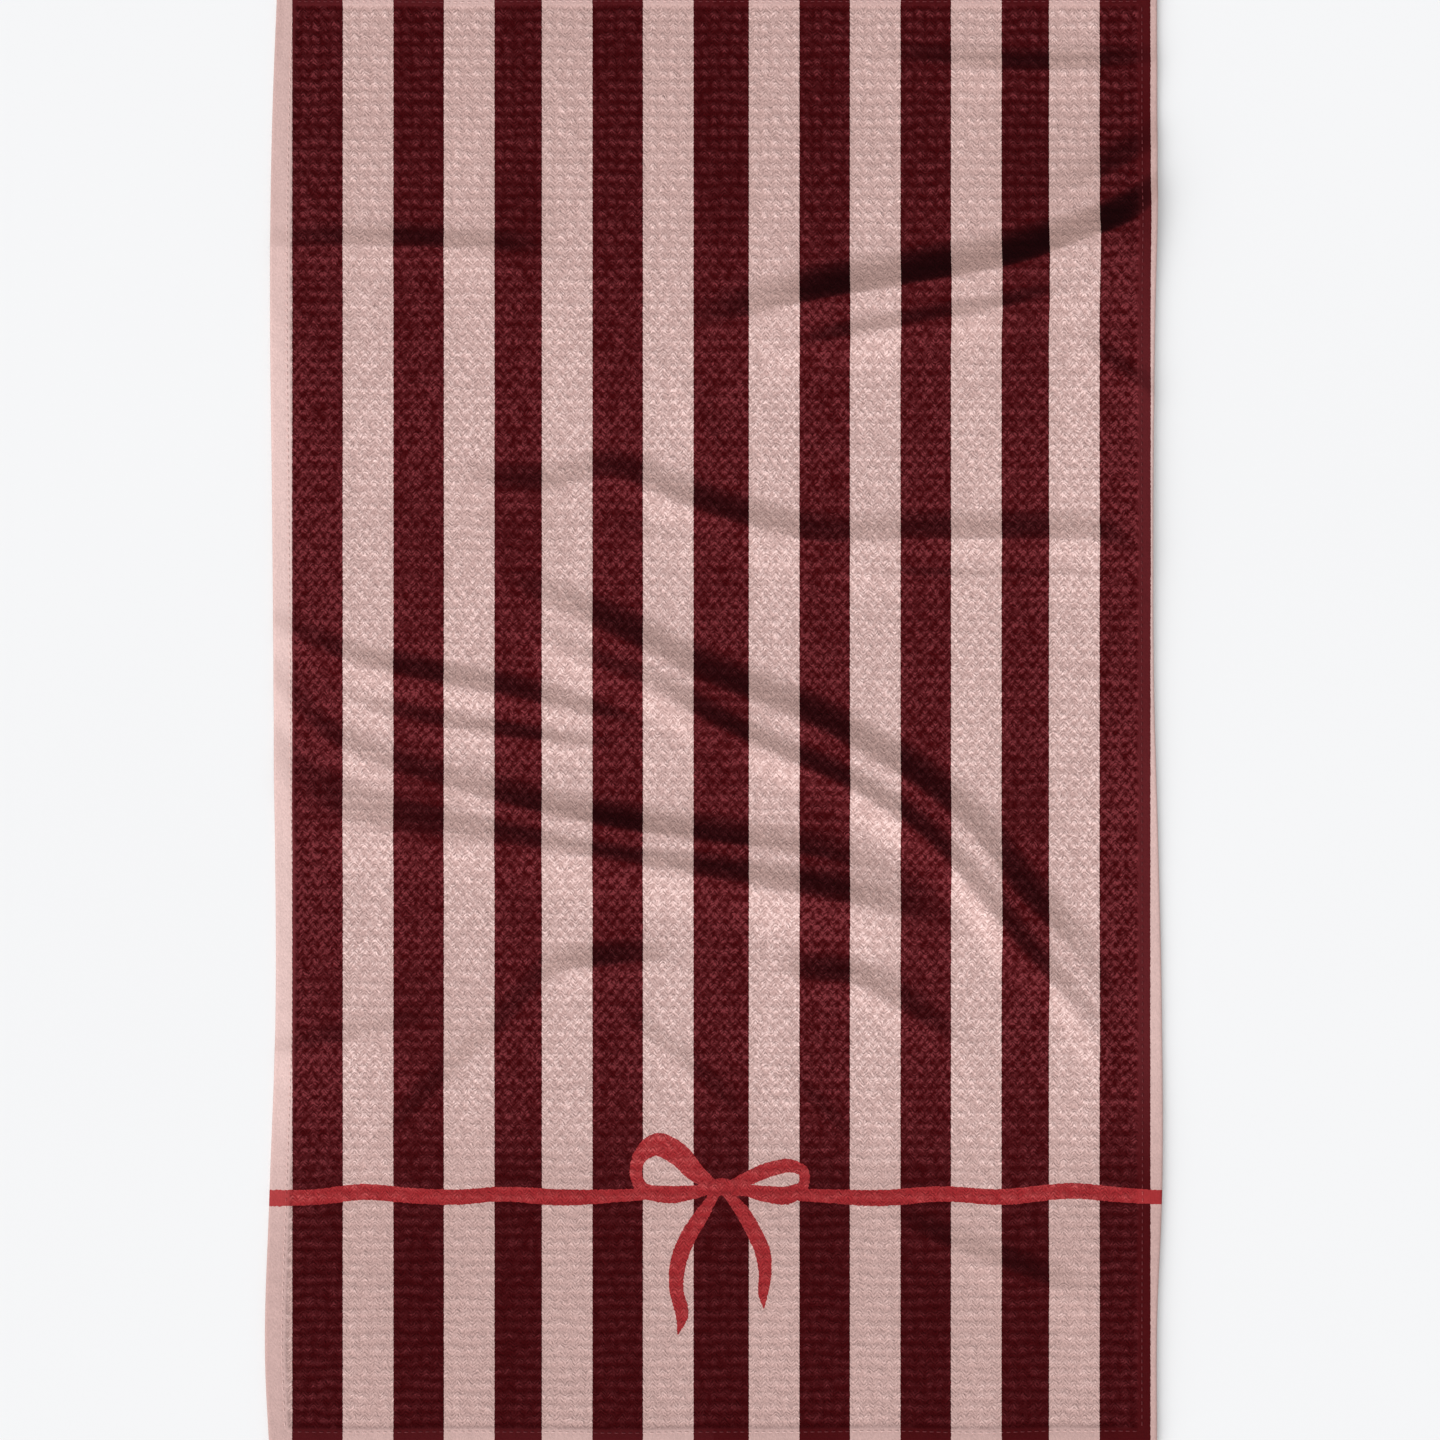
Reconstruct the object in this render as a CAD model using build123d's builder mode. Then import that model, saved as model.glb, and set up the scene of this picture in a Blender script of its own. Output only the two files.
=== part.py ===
from build123d import *
from math import asin, degrees
import os

# Golf towel: a printed waffle-weave cloth with turned hems, a hang loop and a spring-gate clip.
# Millimetres, +Z up. The towel lies flat on its back, +X to the right of the printed face and
# +Y towards the end that hangs from the bag. The origin is the middle of the cloth's underside.

# Cloth
TOWEL_WIDTH = 406.0
TOWEL_LENGTH = 674.0
CLOTH_THICK = 1.4
CORNER_RADIUS = 2.0

# Hems: the cloth's edges, turned under and pressed thinner
SIDE_HEM = 9.5
END_HEM = 12.0
HEM_THICK = 0.9

# Lockstitch seams, a little outside each hem's inner edge
SEAM_INSET = 1.8
THREAD_WIDTH = 0.5
THREAD_THICK = 0.3

# Hang loop: one tape folded over the clip's bar, its two tails sewn into the top hem
TAPE_WIDTH = 10.0
TAPE_THICK = 0.6
TAIL_LENGTH = 10.0
LOOP_REACH = 26.0
EYE_GAP = 0.4
BARTACK_WIDTH = 1.6
BARTACK_FROM_EDGE = (2.5, 7.5)

# Clip: a round bar bent into a long ring, closed by a gate
CLIP_BAR = 4.0
CLIP_LENGTH = 50.0
CLIP_WIDTH = 22.0
CLIP_CORNER = 5.0
GATE_PIVOT = 9.5
GATE_TOP = 35.0
TANG_THICK = 1.5
TANG_WIDTH = 3.6
HINGE_TANG = 3.0
NOSE_TANG = 3.4
NOSE_TANG_INSIDE = 0.9
SIDE_GAP = 0.3
END_GAP = 0.4
GATE_CHEEK = 1.75
HINGE_SLOT = 3.0
NOSE_WEB = 0.8

# Rivet, spring and plunger
RIVET_RADIUS = 0.75
RIVET_RUNNING_GAP = 0.05
RIVET_HEAD_RADIUS = 1.4
RIVET_HEAD_THICK = 0.45
RIVET_HEAD_GAP = 0.1
RIVET_HEAD_CHAMFER = 0.2
SPRING_BORE_RADIUS = 1.1
SPRING_BORE_LENGTH = 13.0
PLUNGER_RADIUS = 1.0
PLUNGER_LENGTH = 3.0
SPRING_RADIUS = 0.75
SPRING_WIRE = 0.3
SPRING_PITCH = 0.8

# Places that follow from the sizes above
half_width = TOWEL_WIDTH / 2
half_length = TOWEL_LENGTH / 2
field_width = TOWEL_WIDTH - 2 * SIDE_HEM
field_length = TOWEL_LENGTH - 2 * END_HEM
border_top = HEM_THICK + CLOTH_THICK
thread_groove = border_top - THREAD_THICK
side_seam = half_width - SIDE_HEM + SEAM_INSET
end_seam = half_length - END_HEM + SEAM_INSET
side_seam_length = 2 * (end_seam - THREAD_WIDTH)

bar_radius = CLIP_BAR / 2
eye_radius = bar_radius + EYE_GAP
loop_radius = eye_radius + TAPE_THICK
eye_y = half_length + LOOP_REACH
tail_bottom = HEM_THICK - TAPE_THICK
tail_y = half_length - TAIL_LENGTH / 2

# The clip lies on the floor at its far end and in the loop's eye at its near end
rail_x = CLIP_WIDTH / 2
bend_y = CLIP_LENGTH - rail_x
clip_tilt = degrees(asin((loop_radius - bar_radius) / CLIP_LENGTH))
clip_plane = Plane((0, eye_y, loop_radius)).rotated((-clip_tilt, 0, 0))
hinge_shoulder = GATE_PIVOT - HINGE_TANG
nose_shoulder = GATE_TOP + END_GAP
nose_tang_end = nose_shoulder - NOSE_TANG
nose_tang_width = TANG_WIDTH / 2 + NOSE_TANG_INSIDE
gate_radius = bar_radius
slot_width = TANG_THICK + 2 * SIDE_GAP
rivet_reach = GATE_CHEEK + RIVET_HEAD_GAP
bore_start = GATE_PIVOT + HINGE_SLOT
plunger_start = GATE_PIVOT + TANG_WIDTH / 2 + SIDE_GAP
spring_start = plunger_start + PLUNGER_LENGTH
spring_length = bore_start + SPRING_BORE_LENGTH - spring_start - 2 * SPRING_WIRE

os.makedirs("parts", exist_ok=True)


def save(piece, name):
    """Labels a finished piece and writes it to its own file."""
    piece.part.label = name
    export_step(piece.part, f"parts/{name}.step")


def gate_plane(distance):
    """The plane square to the gate's axis, this far along it from the clip's bar."""
    return Plane(clip_plane.from_local_coords((rail_x, distance, 0)), z_dir=clip_plane.y_dir)


def block(name, centre, size, low, height):
    """A flat rectangular piece with its underside at the height low."""
    with BuildPart() as piece:
        with BuildSketch(Plane.XY.offset(low)):
            with Locations(centre):
                Rectangle(*size)
        extrude(amount=height)
    save(piece, name)


# The cloth lies on the floor inside the hems and is lifted by the turned ply along its border
with BuildPart() as towel_panel:
    with BuildSketch():
        Rectangle(field_width, field_length)
    extrude(amount=CLOTH_THICK)
    with BuildSketch(Plane.XY.offset(HEM_THICK)):
        RectangleRounded(TOWEL_WIDTH, TOWEL_LENGTH, CORNER_RADIUS)
        Rectangle(field_width, field_length, mode=Mode.SUBTRACT)
    extrude(amount=CLOTH_THICK)
    # Grooves that the needle threads are pulled into
    with BuildSketch(Plane.XY.offset(thread_groove)):
        with Locations((side_seam, 0), (-side_seam, 0)):
            Rectangle(THREAD_WIDTH, side_seam_length)
        with Locations((0, end_seam), (0, -end_seam)):
            Rectangle(2 * side_seam + THREAD_WIDTH, THREAD_WIDTH)
    extrude(amount=THREAD_THICK, mode=Mode.SUBTRACT)
    # Room for the upper tail of the loop
    with BuildSketch(Plane.XY.offset(HEM_THICK)):
        with Locations((0, tail_y)):
            Rectangle(TAPE_WIDTH, TAIL_LENGTH)
    extrude(amount=TAPE_THICK, mode=Mode.SUBTRACT)
    # Grooves for the bartacks
    with BuildSketch(Plane.XY.offset(thread_groove)):
        with Locations([(0, half_length - inset) for inset in BARTACK_FROM_EDGE]):
            Rectangle(TAPE_WIDTH, BARTACK_WIDTH)
    extrude(amount=THREAD_THICK, mode=Mode.SUBTRACT)
save(towel_panel, "towel_panel")

# Side hems, each with the groove of its bobbin thread on its underside
for side, name in ((-1, "hem_left"), (1, "hem_right")):
    with BuildPart() as side_hem:
        with BuildSketch():
            with Locations((side * (half_width - SIDE_HEM / 2), 0)):
                Rectangle(SIDE_HEM, field_length)
        extrude(amount=HEM_THICK)
        with BuildSketch():
            with Locations((side * side_seam, 0)):
                Rectangle(THREAD_WIDTH, field_length)
        extrude(amount=THREAD_THICK, mode=Mode.SUBTRACT)
    save(side_hem, name)

# End hems run the full width; the top one also makes room for the loop's lower tail
for end, name in ((-1, "hem_bottom"), (1, "hem_top")):
    with BuildPart() as end_hem:
        with BuildSketch():
            with Locations((0, end * (half_length - END_HEM / 2))):
                Rectangle(TOWEL_WIDTH, END_HEM)
        extrude(amount=HEM_THICK)
        fillet(end_hem.edges().filter_by(Axis.Z).group_by(Axis.Y)[-1 if end > 0 else 0], CORNER_RADIUS)
        with BuildSketch():
            with Locations((0, end * end_seam)):
                Rectangle(2 * side_seam + THREAD_WIDTH, THREAD_WIDTH)
        extrude(amount=THREAD_THICK, mode=Mode.SUBTRACT)
        if end > 0:
            with BuildSketch(Plane.XY.offset(tail_bottom)):
                with Locations((0, tail_y)):
                    Rectangle(TAPE_WIDTH, TAIL_LENGTH)
            extrude(amount=TAPE_THICK, mode=Mode.SUBTRACT)
    save(end_hem, name)

# Each seam's two threads: the needle's on the face, the bobbin's on the back
for side, word in ((-1, "left"), (1, "right")):
    middle = (side * side_seam, 0)
    block(f"needle_thread_{word}", middle, (THREAD_WIDTH, side_seam_length), thread_groove, THREAD_THICK)
    block(f"bobbin_thread_{word}", middle, (THREAD_WIDTH, field_length), 0, THREAD_THICK)
for end, word in ((-1, "bottom"), (1, "top")):
    middle = (0, end * end_seam)
    seam_size = (2 * side_seam + THREAD_WIDTH, THREAD_WIDTH)
    block(f"needle_thread_{word}", middle, seam_size, thread_groove, THREAD_THICK)
    block(f"bobbin_thread_{word}", middle, seam_size, 0, THREAD_THICK)

# Hang loop: the tape's outline less the eye that the clip's bar lies in, and the two tails
with BuildSketch(Plane.YZ, mode=Mode.PRIVATE) as eye:
    with Locations((eye_y, loop_radius)):
        Circle(eye_radius)
    with Locations((half_length + TAPE_THICK, HEM_THICK)):
        Circle(TAPE_THICK / 10)
    make_hull()
with BuildPart() as hang_loop:
    with BuildSketch(Plane.YZ):
        with Locations((eye_y, loop_radius)):
            Circle(loop_radius)
        with Locations((half_length, HEM_THICK)):
            Rectangle(TAPE_THICK, 2 * TAPE_THICK, align=(Align.MIN, Align.CENTER))
        make_hull()
        with Locations((tail_y, HEM_THICK)):
            Rectangle(TAIL_LENGTH, 2 * TAPE_THICK)
        add(eye.sketch_local, mode=Mode.SUBTRACT)
    extrude(amount=TAPE_WIDTH / 2, both=True)
save(hang_loop, "hang_loop")

# Two bars of dense stitches that hold the loop's tails
with BuildPart() as bartack_thread:
    with BuildSketch(Plane.XY.offset(thread_groove)):
        with Locations([(0, half_length - inset) for inset in BARTACK_FROM_EDGE]):
            Rectangle(TAPE_WIDTH, BARTACK_WIDTH)
    extrude(amount=THREAD_THICK)
save(bartack_thread, "bartack_thread")

# Clip body: the bar runs from the nose over the bend, down the spine and through the loop
with BuildPart() as clip_body:
    with BuildLine(clip_plane) as bar_line:
        Line((rail_x, nose_shoulder), (rail_x, bend_y))
        CenterArc((0, bend_y), rail_x, 0, 180)
        Line((-rail_x, bend_y), (-rail_x, CLIP_CORNER))
        CenterArc((CLIP_CORNER - rail_x, CLIP_CORNER), CLIP_CORNER, 180, 90)
        Line((CLIP_CORNER - rail_x, 0), (rail_x - CLIP_CORNER, 0))
        CenterArc((rail_x - CLIP_CORNER, CLIP_CORNER), CLIP_CORNER, 270, 90)
        Line((rail_x, CLIP_CORNER), (rail_x, hinge_shoulder))
    bar_path = bar_line.wire()
    with BuildSketch(Plane(bar_path @ 0, z_dir=bar_path % 0)):
        Circle(bar_radius)
    sweep(path=bar_path)
    # Flat tang at the hinge, round about the rivet, and flat tang at the nose
    with BuildSketch(clip_plane):
        with Locations((rail_x, GATE_PIVOT - HINGE_TANG / 2)):
            SlotCenterToCenter(HINGE_TANG, TANG_WIDTH, rotation=90)
        with Locations((rail_x - NOSE_TANG_INSIDE, nose_tang_end)):
            Rectangle(nose_tang_width, NOSE_TANG + END_GAP, align=(Align.MIN, Align.MIN))
    extrude(amount=TANG_THICK / 2, both=True)
    with BuildSketch(clip_plane):
        with Locations((rail_x, GATE_PIVOT)):
            Circle(RIVET_RADIUS)
    extrude(amount=TANG_THICK, both=True, mode=Mode.SUBTRACT)
save(clip_body, "clip_body")

# Gate: a round bar with a fork at each end and a blind bore for the spring
with BuildPart() as clip_gate:
    with BuildSketch(clip_plane):
        with BuildLine():
            Line((rail_x, GATE_TOP), (rail_x, GATE_PIVOT - gate_radius))
            CenterArc((rail_x, GATE_PIVOT), gate_radius, -90, 90)
            Line((rail_x + gate_radius, GATE_PIVOT), (rail_x + gate_radius, GATE_TOP))
            Line((rail_x + gate_radius, GATE_TOP), (rail_x, GATE_TOP))
        make_face()
    revolve(axis=Axis(gate_plane(0).origin, clip_plane.y_dir))
    # The hinge fork goes right through; the nose fork keeps a web on its inner side as the stop
    with BuildSketch(clip_plane):
        with Locations((rail_x, GATE_PIVOT)):
            Rectangle(CLIP_BAR + 1, 2 * HINGE_SLOT)
        with Locations((rail_x - gate_radius + NOSE_WEB, GATE_TOP)):
            Rectangle(CLIP_BAR, 2 * NOSE_TANG, align=(Align.MIN, Align.CENTER))
    extrude(amount=slot_width / 2, both=True, mode=Mode.SUBTRACT)
    # Flats on the cheeks for the rivet's heads
    for face in (1, -1):
        with BuildSketch(clip_plane.offset(face * GATE_CHEEK)):
            with Locations((rail_x, GATE_PIVOT)):
                Rectangle(CLIP_BAR + 1, 2 * gate_radius)
        extrude(amount=face * CLIP_BAR, mode=Mode.SUBTRACT)
    with BuildSketch(clip_plane):
        with Locations((rail_x, GATE_PIVOT)):
            Circle(RIVET_RADIUS + RIVET_RUNNING_GAP)
    extrude(amount=CLIP_BAR, both=True, mode=Mode.SUBTRACT)
    with BuildSketch(gate_plane(bore_start)):
        Circle(SPRING_BORE_RADIUS)
    extrude(amount=SPRING_BORE_LENGTH, mode=Mode.SUBTRACT)
save(clip_gate, "clip_gate")

# Rivet: pressed in the tang, running in the gate's cheeks
with BuildPart() as gate_rivet:
    with BuildSketch(clip_plane):
        with Locations((rail_x, GATE_PIVOT)):
            Circle(RIVET_RADIUS)
    extrude(amount=rivet_reach, both=True)
    for face in (1, -1):
        with BuildSketch(clip_plane.offset(face * rivet_reach)):
            with Locations((rail_x, GATE_PIVOT)):
                Circle(RIVET_HEAD_RADIUS)
        extrude(amount=face * RIVET_HEAD_THICK)
    across = gate_rivet.faces().sort_by(Axis(clip_plane.origin, clip_plane.z_dir))
    chamfer(across[0].edges() + across[-1].edges(), RIVET_HEAD_CHAMFER)
save(gate_rivet, "gate_rivet")

# Plunger and spring inside the gate
with BuildPart() as gate_plunger:
    with BuildSketch(gate_plane(plunger_start)):
        Circle(PLUNGER_RADIUS)
    extrude(amount=PLUNGER_LENGTH)
save(gate_plunger, "gate_plunger")

with BuildPart() as gate_spring:
    spring_base = gate_plane(spring_start + SPRING_WIRE).origin
    with BuildLine() as coil:
        Helix(SPRING_PITCH, spring_length, SPRING_RADIUS, center=spring_base, direction=clip_plane.y_dir)
    with BuildSketch(Plane(coil.line @ 0, z_dir=coil.line % 0)):
        Circle(SPRING_WIRE / 2)
    sweep()
save(gate_spring, "gate_spring")

# Where the joints and the hook are, for whoever describes the part
print("clip swing joint", tuple(clip_plane.origin))
print("gate hinge joint", tuple(gate_plane(GATE_PIVOT).origin), "axis", tuple(clip_plane.z_dir))
print("inside of the bend", tuple(clip_plane.from_local_coords((0, CLIP_LENGTH - bar_radius, 0))))
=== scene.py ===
import math
import bpy
import numpy as np
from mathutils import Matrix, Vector


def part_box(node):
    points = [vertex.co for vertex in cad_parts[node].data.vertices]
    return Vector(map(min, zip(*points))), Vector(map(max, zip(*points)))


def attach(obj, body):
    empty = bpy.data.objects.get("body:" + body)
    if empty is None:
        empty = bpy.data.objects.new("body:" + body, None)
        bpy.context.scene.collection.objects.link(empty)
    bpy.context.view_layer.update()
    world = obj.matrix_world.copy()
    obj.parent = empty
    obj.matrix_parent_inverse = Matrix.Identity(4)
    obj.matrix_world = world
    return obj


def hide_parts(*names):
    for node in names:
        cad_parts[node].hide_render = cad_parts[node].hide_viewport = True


# Golf towel: the printed waffle cloth with its folds and hems, the stitching, the woven hang loop
# and the finish of the clip. Everything is in millimetres until a mesh is made, in the CAD frame:
# +X to the right of the printed face, +Y towards the hang loop, +Z up, the floor at zero.

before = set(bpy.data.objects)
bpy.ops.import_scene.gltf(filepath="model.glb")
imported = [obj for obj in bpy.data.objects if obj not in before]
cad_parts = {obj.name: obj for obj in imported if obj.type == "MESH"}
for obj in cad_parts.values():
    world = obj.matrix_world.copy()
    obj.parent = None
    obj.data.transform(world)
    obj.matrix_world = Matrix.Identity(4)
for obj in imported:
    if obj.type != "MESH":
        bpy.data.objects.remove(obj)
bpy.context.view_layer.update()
MM = 0.001


def box_mm(node):
    """A CAD node's lowest and highest corners in millimetres."""
    low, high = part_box(node)
    return np.array(low) / MM, np.array(high) / MM


# Places that follow from the CAD nodes
panel_low, panel_high = box_mm("towel_panel")
HALF_WIDTH = panel_high[0]
HALF_LENGTH = panel_high[1]
SIDE_HEM = np.ptp(box_mm("hem_left"), axis=0)[0]
END_HEM = np.ptp(box_mm("hem_top"), axis=0)[1]
HEM_TOP = panel_high[2]
SIDE_SEAM = np.mean(box_mm("needle_thread_right"), axis=0)[0]
END_SEAM = np.mean(box_mm("needle_thread_top"), axis=0)[1]

# Cloth: its thickness between the grains, the weave, and the hems' step, turned edge and outer edge
FIELD_BASE = 1.0
GRAIN_HEIGHT = 0.62
GRAIN_ACROSS = 4.7
GRAIN_ALONG = 5.35
YARN_PITCH = 1.8
HEM_STEP_ON_FIELD = 0.9
HEM_STEP_ON_HEM = 0.7
TURNED_EDGE_GROOVE = 0.35
TURNED_EDGE_WIDTH = 0.8
EDGE_ROUNDING = 1.1
CORNER_RADIUS = 3.5

# The cloth's mesh: its grid, the lines added at the rounded edge, and which lines the underside keeps
GRID_STEP = 0.7
EDGE_LINES = (0.0, 0.12, 0.4, 0.8)
EDGE_MARGIN = 0.2
UNDERSIDE_STRIDE = 4
TURNED_EDGE_KEPT = 2.5

# Sewing
STITCH_LENGTH = 3.2
STITCH_PULL = 0.2
SEAM_FURROW = 0.9
THREAD_RADIUS = 0.26
STITCH_RINGS = 7
STITCH_SIDES = 6
HOLE_SHARE = 0.12
BARTACK_BAR = 1.6
BARTACK_RUNGS = 26

# The hang loop's tape
TAPE_THICK = 0.6
TAPE_RING_STEP = 0.22
TAPE_COLUMNS = 31
TAPE_BEND_POINTS = 60
RIB_PITCH = 1.1
RIB_WAVE = 2.2
RIB_DEPTH = 0.09
WORN_REACH = 6

# Print
PRINT_CENTRE = 3.05
CENTRE_STRIPE = 25.3
STRIPE = 23.1
NARROW_STRIPE = 21.7
NARROW_LEFT = 4
NARROW_RIGHT = 6
STRIPES_EACH_SIDE = 8
FAR_AWAY = 50.0

# Colours as seen on a screen: each print colour in painted shade, for fold flanks that face away from the
# light, for both ends and for the outer edge; in the weave's hollows; and on its napped grains, lighter ink
# with a painted sheen
BURGUNDY = (28, 1, 3), (63, 1, 4), (119, 47, 52)
PINK = (183, 149, 141), (196, 161, 155), (236, 203, 197)
RIBBON_RED = (118, 26, 30), (158, 41, 45), (198, 88, 88)
UNPRINTED = (186, 166, 160), (220, 200, 194), (240, 226, 220)
KNOT_OUTLINE = (96, 20, 26)
WHITE = (1.0, 1.0, 1.0, 1.0)
THREAD_WHITE = (228, 214, 208)
TAPE_BURGUNDY = (70, 20, 25)
TAPE_WORN = (120, 62, 66)
ALUMINIUM = (196, 197, 201)
STEEL = (176, 176, 180)

# Floor, camera and lights
FLOOR_HALF = 4.0
VIEW_WIDTH = 658.0
VIEW_CENTRE = (2.5, -1.5)
LENS = 120.0
SENSOR = 36.0
KEY_DIRECTION = (0.66, 0.75, -0.75)
KEY_ENERGY = 2.25
KEY_SPREAD = 65
SKY_COLOUR = (0.97, 0.98, 1.0, 1.0)
SKY_STRENGTH = 0.605


# ---------------------------------------------------------------- numbers and curves

# The square that random heights are made for: how far it reaches below zero, and its side
NOISE_REACH = 400
NOISE_SIDE = 900


def smoothstep(low, high, value):
    """0 below low, 1 above high and an eased climb between them."""
    t = np.clip((value - low) / (high - low), 0, 1)
    return t * t * (3 - 2 * t)


def smooth_curve(points, x):
    """Height at x of a smooth curve through (x, height) points, level past both ends."""
    px, py = np.array(points, float).T
    slope = np.gradient(py, px)
    x = np.clip(x, px[0], px[-1])
    i = np.clip(np.searchsorted(px, x) - 1, 0, len(px) - 2)
    span = px[i + 1] - px[i]
    t = (x - px[i]) / span
    start = (1 + 2 * t) * (1 - t) ** 2 * py[i] + t * (1 - t) ** 2 * span * slope[i]
    end = t * t * (3 - 2 * t) * py[i + 1] - t * t * (1 - t) * span * slope[i + 1]
    return start + end


def value_noise(x, y, cell, seed):
    """Smooth random heights from -1 to 1, with lumps about one cell across."""
    a = (x + NOISE_REACH) / cell
    b = (y + NOISE_REACH) / cell
    size = int(NOISE_SIDE / cell) + 3
    table = np.random.default_rng(seed).uniform(-1, 1, (size, size))
    i = np.floor(a).astype(int)
    j = np.floor(b).astype(int)
    s = smoothstep(0, 1, a - i)
    t = smoothstep(0, 1, b - j)
    near = table[j, i] * (1 - s) + table[j, i + 1] * s
    far = table[j + 1, i] * (1 - s) + table[j + 1, i + 1] * s
    return near * (1 - t) + far * t


# ---------------------------------------------------------------- how the cloth lies

# How far the two long edges wander from straight, as (y, shift) from the bottom up
LEFT_EDGE = [(-337, -0.4), (-296, -2.4), (-221, -0.6), (-146, 2.1), (-16, 1.6), (104, 0.7), (184, -0.2),
             (274, 0.8), (337, 3.2)]
RIGHT_EDGE = [(-337, -0.8), (-276, -0.8), (-221, 1.4), (-126, 1.3), (-56, -0.3), (4, -2.0), (164, -2.0),
              (224, -0.9), (337, -0.8)]
EDGE_REACH = 45

# Each fold: the middle of its shaded flank from left to right as (x, y, height of its crest), then the
# width of that flank, which faces up the cloth, the width of the lit flank below the crest, and how
# round the crest is, where it isn't as usual
FOLDS = [
    # The sharp crease at the upper right, its broad end at the edge, and the softer folds below it
    ([(-22, 183, 0), (6, 188, 2.4), (30, 194, 4.8), (49, 198, 6.8), (73, 202, 6.8), (96, 206, 7.2),
      (119, 210, 7.2), (141, 215, 7.2), (165, 224, 7.2), (187, 233, 7.2), (206, 250, 3.6)], 19, 40, 0.72),
    ([(140, 238, 0), (165, 247, 1.4), (187, 258, 2.4), (206, 270, 1.6)], 16, 12),
    ([(22, 168, 0), (50, 175, 4.0), (96, 184, 4.4), (143, 193, 4.2), (165, 200, 2.4),
      (192, 212, 0)], 13, 14),
    ([(160, 180, 0), (184, 163, 1.4), (206, 147, 0.8)], 12, 12),
    # Upper left
    ([(-202, 219, 0.8), (-150, 220, 2.2), (-110, 218, 2.2), (-72, 216, 0)], 13, 16),
    # Across the middle of the upper half
    ([(-128, 115, 0), (-80, 109, 2.2), (-45, 115, 2.4), (-14, 103, 3.4), (20, 92, 3.4), (50, 86, 2.5),
      (90, 87, 2.5), (140, 87, 2.9), (176, 86, 2.0), (203, 75, 0.3)], 16, 14),
    ([(-70, 90, 0), (-20, 86, 1.0), (40, 76, 1.4), (100, 68, 1.0), (160, 68, 0.8), (200, 66, 0)], 12, 12),
    # The long diagonal and the one beside it
    ([(-104, 68, 0), (-62, 51, 2.8), (-38, 40, 3.9), (2, 20, 3.6), (25, 11, 4.1), (49, 0.5, 4.5),
      (73, -13, 4.6), (96, -27, 4.6), (119, -47, 4.0), (141, -75, 4.3), (165, -100, 2.2),
      (190, -136, 0)], 17, 32),
    ([(-98, 46, 0), (-77, 38.5, 1.6), (-53, 27, 2.9), (-30, 18, 3.5), (2, 0, 4.4), (25, -11, 4.8),
      (50, -22, 5.2), (73, -34, 5.3), (96, -50, 5.2), (119, -73, 4.6), (141, -101, 4.4),
      (165, -126, 2.4), (185, -152, 0)], 14, 14),
    # The group at the left, from the top down
    ([(-202, 46, 0.8), (-170, 31, 1.9), (-130, 21, 2.8), (-98, 15, 2.7), (-52, 4.5, 2.0),
      (-18, -1, 0)], 13, 12),
    ([(-185, 18, 0), (-150, 5, 1.2), (-110, -3, 1.9), (-71, -8, 2.2), (-20, -10, 0)], 11, 11),
    ([(-203, 22, 0.8), (-178, -4, 1.8), (-150, -18, 1.8), (-110, -30, 2.1), (-71, -39.5, 2.6),
      (-40, -45.5, 3.1), (-7, -50, 2.5), (55, -59.5, 1.6), (90, -68, 0)], 14, 11),
    ([(-203, -10, 1.4), (-171, -36, 2.6), (-130, -45, 3.4), (-89, -49.5, 5.0), (-34, -58, 6.6),
      (12, -66.5, 7.0), (62, -76, 6.3), (98, -85, 1.8), (125, -93, 0)], 25, 24),
    # The arch below the middle
    ([(-166, -204, 0), (-145, -183, 1.8), (-118, -156, 2.2), (-97, -136, 2.3), (-77, -115, 2.8),
      (-46, -108.5, 3.0), (-14, -105, 0)], 14, 14),
    ([(24, -113, 0), (45, -115, 2.7), (67, -117.5, 2.9), (95, -134, 1.9), (128, -152, 0)], 15, 14),
    ([(-50, -128, 0), (-30, -143, 1.0), (-7, -161, 1.0), (20, -186, 0)], 11, 12),
    ([(24, -154, 0), (48, -176, 0.9), (74, -200, 0)], 11, 12),
    ([(-198, -150, 0.8), (-160, -142, 1.2), (-120, -133, 0)], 13, 14),
    # The lower right and the upper right corners
    ([(66, -218, 0), (100, -234, 1.3), (140, -250, 1.5), (188, -266, 0)], 14, 14),
    ([(60, 306, 0), (110, 302, 1.6), (140, 300, 2.2), (170, 301, 2.0), (203, 303, 0.8)], 13, 18),
    ([(-44, 168, 0), (-15, 157, 0.7), (-1, 134, 0.7), (12, 116, 0)], 11, 12),
]
# How far the crest lies below the listed line, as a share of the shaded flank, and how round a crest is
SHADED_SHARE = 0.4
ROUNDNESS = 0.8
# Height of the curl along the right edge, from the bottom up, and of the field's gentle billows
RIGHT_CURL = [(-337, 2.4), (-230, 2.1), (-150, 1.2), (-70, 1.4), (0, 2.6), (180, 3.0), (230, 1.6), (337, 1.1)]
RIGHT_CURL_REACH = 26
BILLOW = 0.9
BILLOW_SIZE = 70
# The way the painted light travels in plan: slopes that rise along it are painted lighter, slopes that fall
# along it in shade
PAINTED_LIGHT_DIRECTION = (0.15, 0.99)


def fold_height(x, y, crest, above, below, roundness=ROUNDNESS):
    """Lift of one fold: a rounded crest between a flank that faces up the cloth and one that faces down."""
    line = [(point[0], point[1]) for point in crest]
    height = [(point[0], point[2]) for point in crest]
    slope = (smooth_curve(line, x + 1) - smooth_curve(line, x - 1)) / 2
    across = (y - smooth_curve(line, x)) / np.sqrt(1 + slope ** 2) + SHADED_SHARE * above
    away = np.clip(np.where(across > 0, across / above, -across / below), 0, 1)
    inside = (x > crest[0][0]) & (x < crest[-1][0]) | (abs(x) > HALF_WIDTH - 15)
    return np.where(inside, smooth_curve(height, x), 0) * (0.5 + 0.5 * np.cos(np.pi * away ** roundness))


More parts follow.
